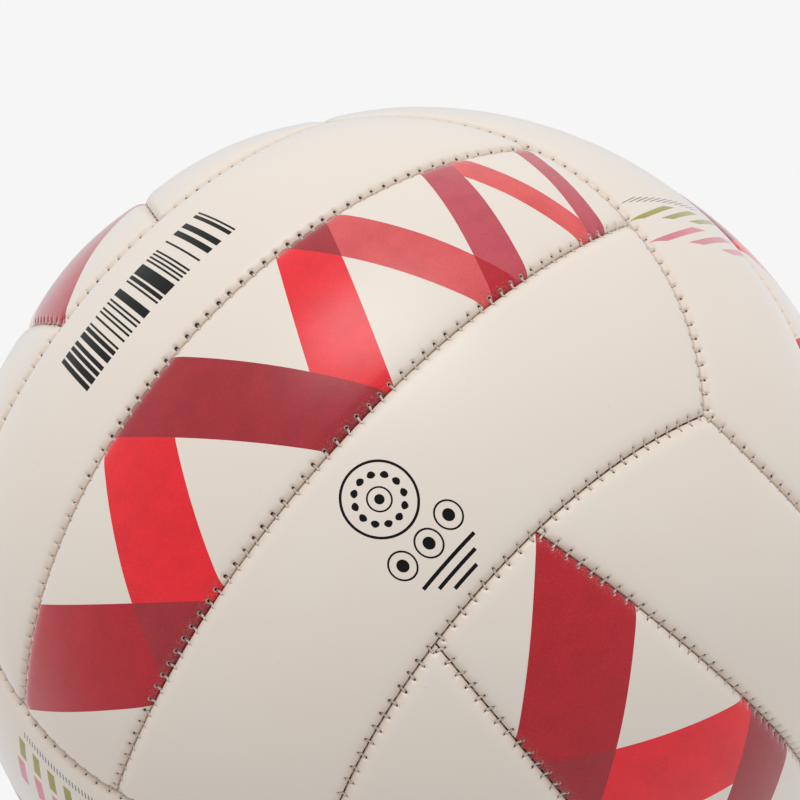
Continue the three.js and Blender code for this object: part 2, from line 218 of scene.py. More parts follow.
class Edge:
    """One seam round a panel, followed anticlockwise as seen from outside, with its stitches."""

    def __init__(self, curve, stops, counts, opening=USUAL_HOLES, inset=HOLE_INSET):
        share = np.linspace(0, 1, EDGE_SAMPLES)
        self.points = curve(stops[0] + (stops[-1] - stops[0]) * share)
        steps = np.linalg.norm(np.diff(self.points, axis=0), axis=1) * SEAM_RADIUS
        self.arc = np.concatenate([[0], np.cumsum(steps)])
        stop_shares = (np.array(stops) - stops[0]) / (stops[-1] - stops[0])
        stop_arcs = np.interp(stop_shares, share, self.arc)
        self.bounds = np.interp(np.arange(sum(counts) + 1), np.cumsum([0, *counts]), stop_arcs)
        self.centres = (self.bounds[1:] + self.bounds[:-1]) / 2
        self.pitches = np.diff(self.bounds)
        count = len(self.centres)
        self.hole_inset = spread(count, inset, INSET_SPREAD)
        self.slant = spread(count, STITCH_SLANT, SLANT_SPREAD)
        self.pull = spread(count, 1, PULL_SPREAD)
        usual = np.interp(self.centres, np.linspace(0, self.arc[-1], len(opening)), opening)
        self.opening = usual * spread(count, 1, OPENING_SPREAD)

    def at(self, arc):
        return unit(np.stack([np.interp(arc, self.arc, self.points[:, k]) for k in range(3)], -1))

    def inward(self, arc):
        step = 0.05
        return unit(np.cross(self.at(arc), self.at(arc + step) - self.at(arc - step)))

    def place(self, arc, inset):
        """The point this far along the seam and this far into the panel."""
        inset = np.asarray(inset)[..., None]
        return unit(self.at(arc) + self.inward(arc) * inset / SEAM_RADIUS)

    def line(self, phases, inset):
        """Points this far into the panel, in columns that lean with the stitches."""
        phases = np.array(phases)
        lean = np.clip((0.5 - np.abs(phases)) / LEANING_PHASES, 0, 1)
        drift = self.slant * np.minimum(inset / self.hole_inset, 1)
        upright = self.centres[:, None] + phases * self.pitches[:, None]
        return self.place((upright + lean * drift[:, None]).ravel(), inset)

    def locate(self, points):
        """How far each point is from the seam, and the arc at which it is nearest."""
        knots = self.points[::EDGE_STRIDE]
        arcs = self.arc[::EDGE_STRIDE]
        sides = np.diff(knots, axis=0)
        offsets = points[:, None, :] - knots[:-1]
        share = np.clip((offsets * sides).sum(-1) / (sides**2).sum(-1), 0, 1)
        gaps = np.linalg.norm(offsets - share[..., None] * sides, axis=-1)
        nearest = gaps.argmin(axis=1)
        rows = np.arange(len(points))
        arc = arcs[nearest] + share[rows, nearest] * np.diff(arcs)[nearest]
        return gaps[rows, nearest] * SEAM_RADIUS, arc


def mitre(before, after, inset):
    """Where the lines at one inset from two seams meet, beside the corner between them."""
    first = before.inward(before.arc[-1])
    second = after.inward(after.arc[0])
    return unit(after.points[0] + (first + second) * inset / (1 + first @ second) / SEAM_RADIUS)


class Panel:
    """A pattern of cover panel, from the four seams round it: side, end, side and end."""

    def __init__(self, edges, centre):
        self.edges = edges
        self.centre = centre

    def distances(self, points):
        """Distance from the ends and from the sides, and what each edge says of the points."""
        found = [edge.locate(points) for edge in self.edges]
        from_side = np.minimum(found[0][0], found[2][0])
        from_end = np.minimum(found[1][0], found[3][0])
        return from_end, from_side, found

    def smooth_radius(self, points):
        from_end, from_side, _ = self.distances(points)
        return cover_face(from_end, from_side)

    def stitched_face(self, points):
        """Radius of the outer face with its stitches, how deep in a needle hole each point is from
        0 to 1, and its distance from the nearest seam."""
        from_end, from_side, found = self.distances(points)
        radius = cover_face(from_end, from_side)
        pit = np.zeros(len(points))
        for edge, (distance, arc) in zip(self.edges, found):
            stitch = np.searchsorted(edge.bounds, arc, "right") - 1
            stitch = np.clip(stitch, 0, len(edge.centres) - 1)
            inset = edge.hole_inset[stitch]
            slant = edge.slant[stitch]
            phase = arc - edge.centres[stitch]
            beside = phase - slant * np.minimum(distance / inset, 1)
            reach = np.clip((inset + NOTCH_FADE - distance) / (2 * NOTCH_FADE), 0, 1)
            notch = np.exp(-((beside / NOTCH_WIDTH) ** 2)) * reach
            wave = 0.5 + 0.5 * np.cos(2 * np.pi * beside / edge.pitches[stitch])
            pucker = wave * np.exp(-((distance / PUCKER_REACH) ** 2))
            from_hole = (distance - inset - HOLE_LEAD) / HOLE_LENGTH
            opening = edge.opening[stitch]
            beside_hole = beside / HOLE_WIDTH / np.sqrt(opening)
            hole = opening * np.exp(-(beside_hole**2) - from_hole**2)
            radius = radius - edge.pull[stitch] * (NOTCH_DEPTH * notch + PUCKER_DEPTH * pucker)
            radius = radius - HOLE_DEPTH * hole
            pit = np.maximum(pit, hole)
        return radius, pit, np.minimum(from_end, from_side)

    def ring(self, inset, phases):
        """Points round the panel, from the corner before the first edge, without those that would
        pass the corners."""
        points = []
        for i, edge in enumerate(self.edges):
            before = self.edges[i - 1]
            line = edge.line(phases, inset)
            others = [other.locate(line)[0] for other in self.edges if other is not edge]
            clear = np.min(others, axis=0) > inset + RING_GAP
            points += [mitre(before, edge, inset)[None], line[clear]]
        return np.concatenate(points)

    def loop(self, inset):
        """Two points for each stitch, where those that would pass a corner lie at its mitre."""
        points = []
        for i, edge in enumerate(self.edges):
            before = self.edges[i - 1]
            after = self.edges[(i + 1) % 4]
            line = edge.line(HALF_PHASES, inset)
            line[before.locate(line)[0] < inset + LOOP_GAP] = mitre(before, edge, inset)
            line[after.locate(line)[0] < inset + LOOP_GAP] = mitre(edge, after, inset)
            line[0] = mitre(before, edge, inset)
            points.append(line)
        return np.concatenate(points)

    def grid(self, spacing):
        """Points clear of the seams, in rows that are offset like bricks. The few that lie beyond
        the panel get no triangles."""
        reach = CROWN_RADIUS * GRID_REACH
        rows = np.arange(-reach, reach, spacing * GRID_ROWS)
        columns = np.arange(-reach, reach, spacing)
        across, along = np.meshgrid(rows, columns, indexing="ij")
        along = along + spacing / 2 * (np.arange(len(rows)) % 2)[:, None]
        points = direction(along.ravel() / CROWN_RADIUS, across.ravel() / CROWN_RADIUS)
        outline = np.concatenate([edge.points for edge in self.edges])[:, :2]
        flat = points[:, :2]
        near = (flat > outline.min(axis=0)) & (flat < outline.max(axis=0))
        points = points[near.all(axis=1)]
        from_end, from_side, _ = self.distances(points)
        return points[np.minimum(from_end, from_side) > GRID_MARGIN]


def flatten(points, centre):
    """A map of the ball's surface round a point, true in distance from it, seen from outside."""
    east = unit(np.cross([0, 1, 0], centre))
    north = np.cross(centre, east)
    away = np.arccos(np.clip(points @ centre, -1, 1))
    flat = np.stack([points @ east, points @ north], -1)
    length = np.maximum(np.linalg.norm(flat, axis=-1), 1e-12)
    return flat * (away / length)[..., None] * CROWN_RADIUS


def triangulate(points, centre, loops):
    """Triangles between the points, inside the first loop and outside the others."""
    flat = [Vector(spot) for spot in flatten(points, centre).tolist()]
    sides = [pair for loop in loops for pair in zip(loop.tolist(), np.roll(loop, -1).tolist())]
    _, _, faces, origins, _, _ = delaunay_2d_cdt(flat, sides, [], 1, 1e-7)
    triangles = np.array([[origins[k][0] for k in face] for face in faces])
    for hole in loops[1:]:
        triangles = triangles[~np.isin(triangles, hole).all(axis=1)]
    return triangles


def band(upper, lower):
    """Triangles from a loop down to one with as many points."""
    after_upper = np.roll(upper, -1)
    after_lower = np.roll(lower, -1)
    fans = [(lower, after_lower, after_upper), (lower, after_upper, upper)]
    return np.concatenate([np.stack(fan, -1) for fan in fans])


def coarsening_band(upper, lower):
    """Triangles from a loop down to one with a fifth of its points."""
    above = [np.roll(upper, -k)[::COLUMNS_PER_LOOP_POINT] for k in range(COLUMNS_PER_LOOP_POINT)]
    above.append(np.roll(above[0], -1))
    after = np.roll(lower, -1)
    fans = [(lower, above[k + 1], above[k]) for k in (0, 1)]
    fans += [(after, above[k + 1], above[k]) for k in (2, 3, 4)]
    fans.append((lower, after, above[2]))
    return np.concatenate([np.stack(fan, -1) for fan in fans])


def welded(points, triangles):
    """The index of the first of each set of equal points, and the triangles that are left."""
    _, first, same = np.unique(np.round(points, 4), axis=0, return_index=True, return_inverse=True)
    triangles = first[same.ravel()][triangles]
    proper = (triangles != np.roll(triangles, 1, axis=1)).all(axis=1)
    used, renumbered = np.unique(triangles[proper], return_inverse=True)
    return used, renumbered.reshape(-1, 3)


def stitch_count(angle):
    return round(angle * SEAM_RADIUS / STITCH_PITCH)


inner_count = stitch_count(2 * SEAM_REACH)
middle_end_count = stitch_count(2 * TEE_ANGLE)
outer_end_count = stitch_count((CORNER_ANGLE - TEE_ANGLE) * END_SEAM_BEND)
long_counts = (outer_end_count, middle_end_count, outer_end_count)
corner_stops = (CORNER_ANGLE, TEE_ANGLE, -TEE_ANGLE, -CORNER_ANGLE)
whole_strip = (-SEAM_REACH, SEAM_REACH)


def upper_seam(along):
    return direction(along, inner_seam(along))


def lower_seam(along):
    return direction(along, -inner_seam(along))


def middle_pattern(lower_holes, upper_holes):
    """A middle strip, from how open the needle holes along its two long seams are."""
    edges = [
        Edge(lower_seam, whole_strip, [inner_count], lower_holes),
        Edge(on_end_seam, (-TEE_ANGLE, TEE_ANGLE), [middle_end_count]),
        Edge(upper_seam, whole_strip[::-1], [inner_count], upper_holes),
        Edge(on_far_end_seam, (TEE_ANGLE, -TEE_ANGLE), [middle_end_count]),
    ]
    return Panel(edges, direction(0, 0))


def outer_pattern(holes, inset=HOLE_INSET):
    """An outer strip, from how open and how far in the needle holes along the middle strip are."""
    edges = [
        Edge(upper_seam, whole_strip, [inner_count], holes, inset),
        Edge(on_end_seam, (TEE_ANGLE, CORNER_ANGLE), [outer_end_count]),
        Edge(on_long_seam, corner_stops, long_counts),
        Edge(on_far_end_seam, (CORNER_ANGLE, TEE_ANGLE), [outer_end_count]),
    ]
    return Panel(edges, direction(0, OUTER_MIDDLE_ANGLE))


USUAL_PANELS = {
    "middle": middle_pattern(USUAL_HOLES, USUAL_HOLES),
    "a": outer_pattern(USUAL_HOLES),
    "b": outer_pattern(USUAL_HOLES),
}
# The top group's inner seams are pulled tighter, which opens the holes on one side of each
TOP_PANELS = {
    "middle": middle_pattern(PULLED_HOLES_MIDDLE, TIGHT_HOLES),
    "a": outer_pattern(PULLED_HOLES_A, PULLED_INSET),
    "b": outer_pattern(TIGHT_HOLES),
}

VALVE_HOLE = VALVE_NECK_DIAMETER / 2 + CLEARANCE
# Circles of points round the valve's hole: radius and count
VALVE_CIRCLES = ((VALVE_HOLE, 48), (4.8, 48), (5.2, 40), (5.9, 36), (7.1, 28))
VALVE_RIM_ROLL = 0.45
VALVE_RIM_WIDTH = 1.3
VALVE_GRID_GAP = 8.8  # how near the valve's axis its circles take the grid's place


def around_valve(radius, count):
    """A circle round the middle of the top panel, followed clockwise."""
    turn = -2 * np.pi * np.arange(count) / count
    return unit(np.stack([np.cos(turn), np.sin(turn), np.full(count, CROWN_RADIUS / radius)], -1))


def from_valve(points):
    return CROWN_RADIUS * np.hypot(points[:, 0], points[:, 1]) / np.maximum(points[:, 2], 0.2)


def filled(panel, rings, spacing, circles):
    """The points of rings and a grid within them, and the loops at their edges. Circles round the
    valve, if any are given, take the place of the points near it."""
    points = np.concatenate([*rings, panel.grid(spacing)])
    loops = [np.arange(len(rings[0]))]
    if circles:
        points = points[from_valve(points) > VALVE_GRID_GAP]
        loops.append(len(points) + np.arange(circles[0][1]))
        points = np.concatenate([points] + [around_valve(*circle) for circle in circles])
    return points, loops


def cover_mesh(panel, circles=()):
    """Points, triangles and two values that the leather's material reads: the distance from the
    seam, and how deep in a needle hole the point is."""
    face, loops = filled(panel, [panel.ring(*ring) for ring in RINGS], FACE_GRID, circles)
    radius, pit, from_seam = panel.stitched_face(face)
    if circles:
        near_hole = np.clip(1 - (from_valve(face) - VALVE_HOLE) / VALVE_RIM_WIDTH, 0, 1)
        radius = radius - VALVE_RIM_ROLL * near_hole**2

    wall = panel.loop(EDGE_LINE)
    tip = panel.loop(EDGE_LINE + TURN_IN_THICKNESS)
    root = panel.loop(EDGE_LINE + TURN_IN_THICKNESS + TURN_IN_FLARE)
    inner, inner_loops = filled(panel, [root], INNER_GRID, circles[:1])
    wall_loop = len(face) + np.arange(len(wall))
    tip_loop = wall_loop + len(wall)
    root_loop, *inner_holes = (tip_loop[0] + len(wall) + loop for loop in inner_loops)
    triangles = [
        triangulate(face, panel.centre, loops),
        coarsening_band(loops[0], wall_loop),
        band(wall_loop, tip_loop),
        band(tip_loop, root_loop),
        root_loop[0] + triangulate(inner, panel.centre, inner_loops)[:, ::-1],
        *(band(hole, below) for hole, below in zip(loops[1:], inner_holes)),
    ]

    turned_in = np.concatenate([wall, tip])
    turned_radius = np.full(len(turned_in), TURN_IN_RADIUS)
    inner_radius = panel.smooth_radius(inner) - COVER_THICKNESS
    radii = np.concatenate([radius, turned_radius, inner_radius])
    points = np.concatenate([face, turned_in, inner]) * radii[:, None]
    unseen = np.zeros(len(points) - len(face))
    used, triangles = welded(points, np.concatenate(triangles))
    pit = np.concatenate([pit, unseen])[used]
    from_seam = np.concatenate([from_seam, unseen])[used]
    return points[used], triangles, {"pit": pit, "from_seam": from_seam}


def lining_mesh(panel, circles=()):
    """A closed layer behind the cover, cut to end at its turned-in edges."""
    rim = panel.loop(EDGE_LINE + TURN_IN_THICKNESS + TURN_IN_FLARE + CLEARANCE)
    layer, loops = filled(panel, [rim], INNER_GRID, circles[:1])
    flat = triangulate(layer, panel.centre, loops)
    count = len(layer)
    triangles = [flat, count + flat[:, ::-1]] + [band(loop, count + loop) for loop in loops]
    outside = (panel.smooth_radius(layer) - COVER_THICKNESS - CLEARANCE)[:, None]
    points = np.concatenate([layer * outside, layer * (outside - LINING_THICKNESS)])
    used, triangles = welded(points, np.concatenate(triangles))
    return points[used], triangles


# Where each group and panel goes

CORNER_TURN = np.array([[0, 0, 1], [1, 0, 0], [0, 1, 0]])
HALF_TURN_X = np.diag([1, -1, -1])
HALF_TURN_Z = np.diag([-1, -1, 1])
GROUPS = {}
for turns, (near, far) in enumerate((("top", "bottom"), ("right", "left"), ("back", "front"))):
    GROUPS[near] = np.linalg.matrix_power(CORNER_TURN, turns)
    GROUPS[far] = GROUPS[near] @ HALF_TURN_X
VALVE_GROUP = "back"


def placed_panels():
    """Each panel's group, its side of the group, its pattern, and its turn into its place."""
    for group, turn in GROUPS.items():
        patterns = TOP_PANELS if group == "top" else USUAL_PANELS
        for side, side_turn in (("middle", turn), ("a", turn), ("b", turn @ HALF_TURN_Z)):
            yield group, side, patterns[side], side_turn


def add_object(name, data):
    made = bpy.data.objects.new(name, data)
    bpy.context.scene.collection.objects.link(made)
    return made


def add_piece(name, points, triangles, material, nodes, values=None):
    """A closed mesh piece on the ball's body, in place of CAD nodes."""
    mesh = bpy.data.meshes.new(name)
    mesh.from_pydata((points * METRES).tolist(), [], triangles.tolist())
    for key, numbers in (values or {}).items():
        kind, field = ("FLOAT_VECTOR", "vector") if numbers.ndim == 2 else ("FLOAT", "value")
        attribute = mesh.attributes.new(key, kind, "POINT")
        attribute.data.foreach_set(field, numbers.astype(np.float32).ravel())
    mesh.shade_smooth()
    mesh.materials.append(material)
    piece = add_object(name, mesh)
    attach(piece, "root")
    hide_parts(*nodes)
    return piece


# Materials

class Nodes:
    """A node tree, and short ways to add nodes to it."""

    def __init__(self, tree):
        self.tree = tree

    def add(self, kind, inputs=None, **settings):
        node = self.tree.nodes.new(f"ShaderNode{kind}")
        for key, value in settings.items():
            setattr(node, key, value)
        for key, value in (inputs or {}).items():
            self.feed(node.inputs[key], value)
        return node

    def feed(self, socket, value):
        if isinstance(value, bpy.types.NodeSocket):
            self.tree.links.new(value, socket)
        else:
            socket.default_value = value

    def math(self, operation, *values):
        return self.add("Math", dict(enumerate(values)), operation=operation).outputs[0]

    def times(self, first, second):
        return self.math("MULTIPLY", first, second)

    def most(self, *values):
        """The greatest of some values."""
        greatest = values[0]
        for value in values[1:]:
            greatest = self.math("MAXIMUM", greatest, value)
        return greatest

    def between(self, share, low, high):
        """A value of 0 to 1, moved to lie between two others."""
        inputs = {"Value": share, "To Min": low, "To Max": high}
        return self.add("MapRange", inputs).outputs["Result"]

    def seen(self):
        """1 for rays that show the surface, by way of a mirror or glass too, and 0 for the others."""
        rays = self.add("LightPath").outputs
        return self.most(*(rays[f"Is {kind} Ray"] for kind in ("Camera", "Glossy", "Transmission")))


class Shader(Nodes):
    """A node material that ends in a Principled BSDF."""

    def __init__(self, name):
        self.material = bpy.data.materials.new(name)
        self.material.use_nodes = True
        super().__init__(self.material.node_tree)
        self.surface = self.tree.nodes["Principled BSDF"]

    def set(self, **inputs):
        for key, value in inputs.items():
            self.feed(self.surface.inputs[key.replace("_", " ")], value)

    def mix(self, factor, first, second, blend="MIX"):
        inputs = {"Factor": factor, 6: first, 7: second}
        return self.add("Mix", inputs, data_type="RGBA", blend_type=blend).outputs[2]

    def ramp(self, value, low, high):
        """0 below low and 1 above high, in between smoothly."""
        inputs = {"Value": value, "From Min": low, "From Max": high}
        return self.add("MapRange", inputs, interpolation_type="SMOOTHSTEP").outputs["Result"]

    def noise(self, size, detail=2.0):
        """Noise with features of about this size in millimetres."""
        inputs = {"Scale": 1 / (size * METRES), "Detail": detail, "Vector": self.position()}
        return self.add("TexNoise", inputs).outputs["Fac"]

    def patches(self, size, low, high, detail=2.0):
        """Patches of about this size in millimetres, where the noise is high."""
        return self.ramp(self.noise(size, detail), low, high)

    def position(self):
        return self.add("TexCoord").outputs["Object"]

    def read(self, name, output="Fac"):
        return self.add("Attribute", attribute_name=name).outputs[output]

    def split(self, vector):
        return tuple(self.add("SeparateXYZ", {"Vector": vector}).outputs)

    def bump(self, height, strength, depth, **normal):
        inputs = {"Height": height, "Strength": strength, "Distance": depth * METRES}
        inputs.update(normal)
        return self.add("Bump", inputs).outputs["Normal"]


def linear(red, green, blue):
    """A colour for a node, from the numbers 0 to 255 that it shows as on a screen."""
    values = np.array([red, green, blue]) / 255
    values = np.where(values <= 0.04045, values / 12.92, ((values + 0.055) / 1.055) ** 2.4)
    return (*values.tolist(), 1.0)


OFF_WHITE = linear(236, 226, 215)
WARM_WHITE = linear(236, 225, 213)
BRIGHT_RED = linear(243, 28, 44)
CRIMSON = linear(188, 15, 36)
MAROON = linear(168, 34, 46)
ROSE = linear(224, 88, 90)
DUSTY_ROSE = linear(198, 76, 90)
SALMON = linear(232, 88, 88)
INK_BLACK = linear(3, 3, 3)
HOLE_LIP = linear(238, 222, 214)
OLIVE = linear(170, 166, 74)
PINK = linear(226, 138, 152)
GREY = linear(150, 148, 150)
PAINTED_HOLE_SHADE = linear(78, 56, 44)
FLECK_BROWN = linear(196, 176, 156)
SEAM_SHADE = linear(246, 240, 234)
INK_SHADE = linear(244, 234, 235)
INK_GRAIN = linear(244, 240, 240)
SHEEN = linear(244, 247, 252)
LEATHER_COAT = 0.25
CREASE_WEAR_AND_HIGHLIGHT = 5  # times as much ink is bared where the leather bends down to a seam: partly wear, partly a painted highlight on the rolled edge

# The ribbon's folds: where along the strip each is, and the ribbon's width there
RIBBON_FOLDS = (-104, -66, -30, 0, 26, 48, 66, 80, 92)
RIBBON_WIDTHS = (30, 27, 22, 18, 14, 11, 8, 6, 4)
# Towards the narrow end the inks and crossings turn paler: partly print, partly a painted highlight
# standing in for glare on the top strip
RIBBON_INKS = (CRIMSON, BRIGHT_RED, MAROON, BRIGHT_RED, ROSE, DUSTY_ROSE, SALMON, DUSTY_ROSE)
CROSSING_INKS = (MAROON, MAROON, MAROON, MAROON, CRIMSON, DUSTY_ROSE, DUSTY_ROSE)
RIBBON_REACH = 24

ROUNDEL_MIDDLE = (1.5, 37.0)
ROUNDEL_RINGS = ((8.2, 0.3), (2.6, 0.2), (0.0, 1.1))  # radius and half width
DIAL_RADIUS = 5.4
DIAL_WAVES = 6.0  # two dots to each
DIAL_DOT_SQUARED = 0.6
SMALL_MIDDLES = ((-6.3, 49.4), (1.5, 50.4), (9.3, 49.4))
SMALL_RINGS = ((3.1, 0.22), (0.0, 1.4))
ROUNDEL_BARS = ((55.6, 9.0), (58.0, 6.5), (60.4, 4.0))  # height and half length
BAR_HALF_HEIGHT = 0.42

BAR_PITCH = 0.54
BARS_MIDDLE = (0.0, 43.0)
BARS_HALF_SIZE = (25.0, 7.5)

# Rows of dashes: the direction across the row, its middle and half width that way, and the middle,
# number, pitch and ink of its dashes
RIGHT_DASHES = (
    ("x", -11.0, 1.0, 5.4, 12, 0.8, GREY),
    ("x", -16.0, 2.6, -0.2, 3, 3.4, OLIVE),
    ("x", -24.0, 3.2, -10.0, 3, 4.2, PINK),
)
LEFT_DASHES = (
    ("y", 59.0, 0.7, 24.6, 33, 1.2, GREY),
    ("y", 54.4, 2.4, 23.0, 7, 6.4, OLIVE),
    ("y", 47.6, 3.0, 20.7, 6, 7.4, PINK),
)
DASH_LEAN = 0.35
DASH_SHARE = 0.45  # of the pitch


# Each print takes the leather's colour and the place on the pattern, and gives the printed colour
# and 1 where there is ink

def within(shader, value, middle, half_width):
    """1 where a value is within half a width of the middle."""
    return shader.math("COMPARE", value, middle, half_width)


def slanted_line(shader, y, start, end, start_height):
    """Where a line is along the strip, from its places at a height and at the opposite height."""
    slope = (end - start) / (-2 * start_height)
    return shader.math("MULTIPLY_ADD", y, slope, (start + end) / 2)


def zigzag_ribbon(shader, colour, x, y):
    """A ribbon folded to and fro between the long seams, which gets narrower along the strip."""
    folds, widths = RIBBON_FOLDS, RIBBON_WIDTHS
    masks = []
    for k, ink in enumerate(RIBBON_INKS):
        low = -RIBBON_REACH if k % 2 else RIBBON_REACH
        near_line = slanted_line(shader, y, folds[k], folds[k + 1], low)
        far_line = slanted_line(shader, y, folds[k] + widths[k], folds[k + 1] + widths[k + 1], low)
        past_near = shader.math("GREATER_THAN", x, near_line)
        masks.append(shader.times(past_near, shader.math("LESS_THAN", x, far_line)))
        colour = shader.mix(masks[k], colour, ink)
    for first, second, ink in zip(masks, masks[1:], CROSSING_INKS):
        colour = shader.mix(shader.times(first, second), colour, ink)
    return colour, shader.most(*masks)


def rectangle(shader, x, y, middle, half_size):
    inside_x = within(shader, x, middle[0], half_size[0])
    return shader.times(inside_x, within(shader, y, middle[1], half_size[1]))


def sum_of_squares(shader, first, second):
    return shader.math("ADD", shader.times(first, first), shader.times(second, second))


def reach_from(shader, x, y, middle):
    """Distance from a point of the pattern, and the angle round it."""
    along = shader.math("SUBTRACT", x, middle[0])
    up = shader.math("SUBTRACT", y, middle[1])
    distance = shader.math("SQRT", sum_of_squares(shader, along, up))
    return distance, shader.math("ARCTAN2", up, along)


def roundel(shader, colour, x, y):
    """A large ring with a dial of dots, three small rings and three bars."""
    reach, angle = reach_from(shader, x, y, ROUNDEL_MIDDLE)
    turn = shader.math("SINE", shader.times(angle, DIAL_WAVES))
    beside_dot = shader.times(shader.math("DIVIDE", turn, DIAL_WAVES), reach)
    beyond_dot = shader.math("SUBTRACT", reach, DIAL_RADIUS)
    squares = sum_of_squares(shader, beside_dot, beyond_dot)
    masks = [shader.math("LESS_THAN", squares, DIAL_DOT_SQUARED)]
    masks += [within(shader, reach, *ring) for ring in ROUNDEL_RINGS]
    for middle in SMALL_MIDDLES:
        reach, _ = reach_from(shader, x, y, middle)
        masks += [within(shader, reach, *ring) for ring in SMALL_RINGS]
    for height, half_length in ROUNDEL_BARS:
        middle = (ROUNDEL_MIDDLE[0], height)
        masks.append(rectangle(shader, x, y, middle, (half_length, BAR_HALF_HEIGHT)))
    mask = shader.most(*masks)
    return shader.mix(mask, colour, INK_BLACK), mask


def bars(shader, colour, x, y):
    """A row of upright bars of uneven width."""
    cell = shader.math("FLOOR", shader.math("DIVIDE", x, BAR_PITCH))
    chance = shader.add("TexWhiteNoise", {"W": cell}, noise_dimensions="1D")
    mask = shader.math("GREATER_THAN", chance.outputs["Value"], 0.5)
    mask = shader.times(mask, rectangle(shader, x, y, BARS_MIDDLE, BARS_HALF_SIZE))
    return shader.mix(mask, colour, INK_BLACK), mask


def dashes(rows):
    """The print of some rows of slanted dashes."""
    def paint(shader, colour, x, y):
        leaning = shader.math("MULTIPLY_ADD", y, DASH_LEAN, x)
        masks = []
        for across, row_middle, half_width, middle, count, pitch, ink in rows:
            half_length = pitch * (count - 1 + DASH_SHARE) / 2
            from_start = shader.math("SUBTRACT", leaning, middle - half_length)
            share = shader.math("FRACT", shader.math("DIVIDE", from_start, pitch))
            mask = shader.math("LESS_THAN", share, DASH_SHARE)
            mask = shader.times(mask, within(shader, leaning, middle, half_length))
            place = x if across == "x" else y
            mask = shader.times(mask, within(shader, place, row_middle, half_width))
            colour = shader.mix(mask, colour, ink)
            masks.append(mask)
        return colour, shader.most(*masks)
    return paint


def leather(name, pattern=None, wear_and_highlight=0.0, gloss=LEATHER_COAT):
    """Smooth synthetic leather with a fine grain, printed with a pattern if one is given. Its ink
    is worn off in specks by this much, more so near the seams, where the bared specks are also a
    painted highlight on the rolled edge. The ink has this much coat."""
    shader = Shader(name)
    coat = LEATHER_COAT
    x, y, _ = shader.split(shader.read("place", "Vector"))
    from_seam = shader.read("from_seam")
    pit = shader.read("pit")
    colour = shader.mix(shader.patches(24, 0.3, 0.7), OFF_WHITE, WARM_WHITE)
    fleck = shader.patches(0.9, 0.70, 0.76, detail=4.0)
    colour = shader.mix(shader.times(fleck, 0.25), colour, FLECK_BROWN)
    roughness = shader.between(shader.noise(3, 3.0), 0.36, 0.46)
    if pattern is not None:
        painted, printed = pattern(shader, colour, x, y)
        uneven = shader.times(shader.patches(6, 0.35, 0.7, detail=4.0), printed)
        painted = shader.mix(uneven, painted, INK_SHADE, "MULTIPLY")
        grainy = shader.times(shader.patches(0.35, 0.4, 0.65), printed)
        painted = shader.mix(grainy, painted, INK_GRAIN, "MULTIPLY")
        worn = shader.times(shader.patches(0.3, 0.5, 0.8), wear_and_highlight)
        # Near the seams the ink is bared in specks: partly wear, partly a painted highlight on the
        # rolled edge
        crease_wear_and_highlight = shader.times(shader.ramp(from_seam, 3.0, 0.6), wear_and_highlight * CREASE_WEAR_AND_HIGHLIGHT)
        crease_wear_and_highlight = shader.times(shader.patches(0.3, 0.5, 0.68), crease_wear_and_highlight)
        bare = shader.times(shader.most(worn, crease_wear_and_highlight), printed)
        colour = shader.mix(bare, painted, OFF_WHITE)
        roughness = shader.math("SUBTRACT", roughness, shader.times(printed, 0.03))
        coat = shader.math("MULTIPLY_ADD", printed, gloss - LEATHER_COAT, LEATHER_COAT)
    # Painted shade along the seams, warm and darker towards them
    colour = shader.mix(shader.ramp(from_seam, 2.2, 0.1), colour, SEAM_SHADE, "MULTIPLY")
    colour = shader.mix(shader.times(shader.ramp(pit, 0.12, 0.34), 0.6), colour, HOLE_LIP)
    # Painted shade deep in the needle holes
    colour = shader.mix(shader.ramp(pit, 0.42, 0.7), colour, PAINTED_HOLE_SHADE)
    grain = shader.bump(shader.noise(0.35, 3.0), 0.25, 0.02)
    creases = shader.bump(shader.noise(5, 3.0), 0.2, 0.15, Normal=grain)
    shader.set(Base_Color=colour, Roughness=roughness, Normal=creases, Specular_IOR_Level=0.12)
    shader.set(Coat_Weight=coat, Coat_Roughness=0.3)
    shader.set(Sheen_Weight=1.0, Sheen_Roughness=0.3, Sheen_Tint=SHEEN)
    return shader.material


def weave(name, colour, dark, thread):
    """Cloth of plain weave, with threads of this width in millimetres."""
    shader = Shader(name)
    turn = np.pi / (thread * METRES)
    waves = [shader.math("SINE", shader.times(v, turn)) for v in shader.split(shader.position())]
    height = shader.times(shader.math("ADD", waves[0], waves[1]), waves[2])
    share = shader.ramp(height, -1.0, 1.0)
    tone = shader.mix(shader.noise(6), colour, dark)
    # Painted shade in the hollows of the weave, where it is low
    colour = shader.mix(share, dark, tone)
    shader.set(Base_Color=colour, Roughness=0.9, Normal=shader.bump(share, 0.6, 0.1))
    return shader.material


def twisted_thread():
    """Waxed thread of twisted strands, from the place along the thread and round it."""
    shader = Shader("waxed_thread")
    along, angle, _ = shader.split(shader.read("place", "Vector"))
    spiral = shader.math("MULTIPLY_ADD", along, 9.0, angle)
    strand = shader.math("MULTIPLY_ADD", shader.math("SINE", shader.times(spiral, 3.0)), 0.5, 0.5)
    light = shader.mix(shader.noise(1.5, 3.0), linear(232, 221, 213), linear(213, 199, 188))
    # Painted shade in the grooves between the strands
    colour = shader.mix(shader.ramp(strand, 0.3, 0.0), light, linear(188, 172, 160))
    shader.set(Base_Color=colour, Roughness=0.55, Normal=shader.bump(strand, 0.6, 0.05))
    return shader.material


def rubber(name, dark, light, roughness):
    shader = Shader(name)
    tone = shader.mix(shader.patches(4, 0.3, 0.75, detail=4.0), dark, light)
    dusty = shader.between(shader.noise(2, 3.0), roughness - 0.06, roughness + 0.1)
    grain = shader.bump(shader.noise(0.3, 3.0), 0.3, 0.03)
    shader.set(Base_Color=tone, Roughness=dusty, Normal=grain)
    return shader.material


